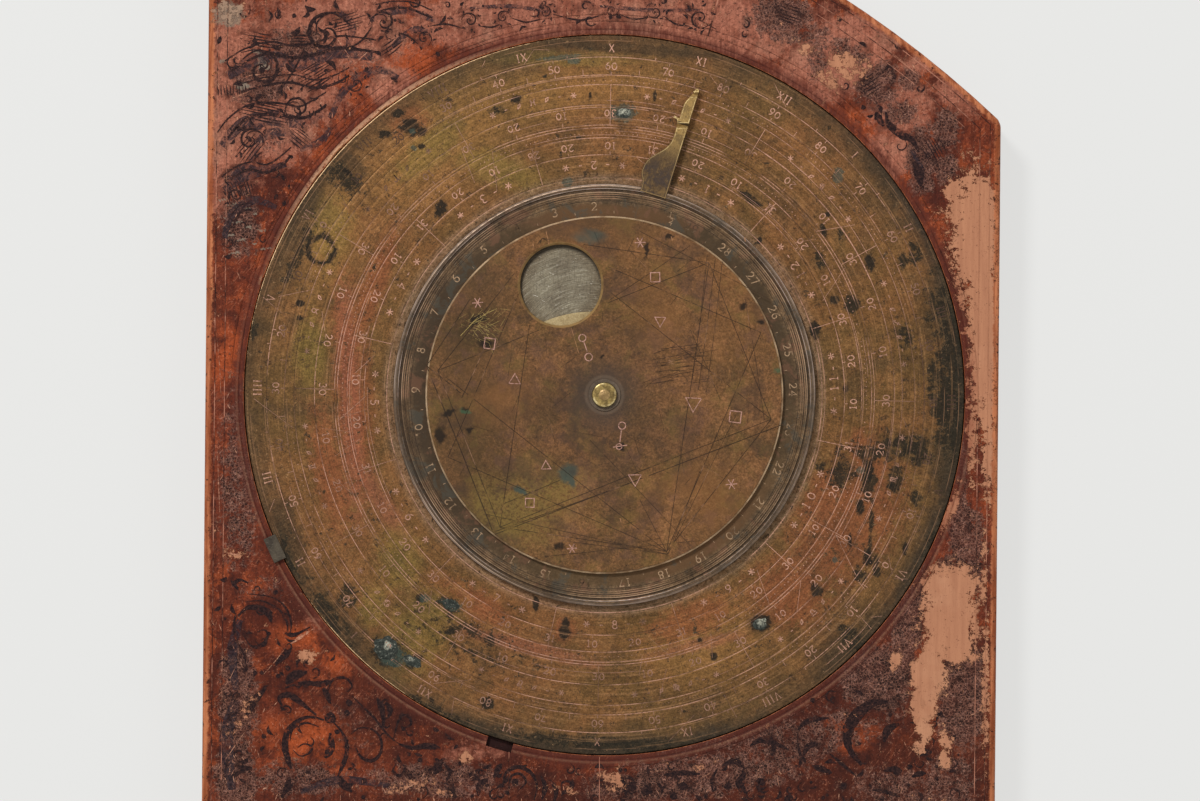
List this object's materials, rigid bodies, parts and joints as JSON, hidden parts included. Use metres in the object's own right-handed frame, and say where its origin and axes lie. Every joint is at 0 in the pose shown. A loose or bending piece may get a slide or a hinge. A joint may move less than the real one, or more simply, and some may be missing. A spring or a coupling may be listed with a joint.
{
  "type": "horary quadrant",
  "caption": "Wooden hour quadrant with a round brass calendar dial on its back; a pointed sun disc and a windowed moon disc turn on one pivot.",
  "frame": {"origin": "on the board's front face, in line with the pivot of the dial", "axes": "+Z out of the back of the board, the side that the dial is on; +Y along the long straight edge, from the sights to the limb; +X away from that edge"},
  "size_m": [0.1588, 0.2385, 0.0165],
  "materials": {
    "board_wood": "stained, worn to bare wood at the edges, dark ink scrolls",
    "plate_brass": "old patina, engraved and punched",
    "disc_brass": "brown patina, bright bevels",
    "pointer_brass": "rubbed bright along its edges",
    "silver": "silvered, finely scratched",
    "gilt": "gilt, dull",
    "pivot_brass": "hammered and rubbed bright",
    "washer_steel": "grey, dull",
    "clip_metal": "grey, dull",
    "fitting_brass": "aged, plain"
  },
  "bodies": {
    "board": {"quadrant_board": "board_wood", "calendar_plate": "plate_brass", "plate_clip": "clip_metal", "pivot_arbor": "pivot_brass", "pivot_washer": "washer_steel", "pivot_collar": "pivot_brass", "plumb_bush": "fitting_brass", "eye_sight": "fitting_brass", "far_sight": "fitting_brass", "eye_sight_pins": "fitting_brass", "far_sight_pins": "fitting_brass"},
    "sun": {"sun_disc": "disc_brass", "sun_pointer": "pointer_brass", "phase_silver": "silver", "phase_gilt": "gilt"},
    "moon": {"moon_disc": "disc_brass"}
  },
  "joints": [
    {"name": "sun_turn", "type": "hinge", "parent": "board", "child": "sun", "pos_m": [0, 0, 0.0131], "axis": [0, 0, 1], "continuous": true},
    {"name": "moon_turn", "type": "hinge", "parent": "board", "child": "moon", "pos_m": [0, 0, 0.01455], "axis": [0, 0, 1], "continuous": true}
  ]
}
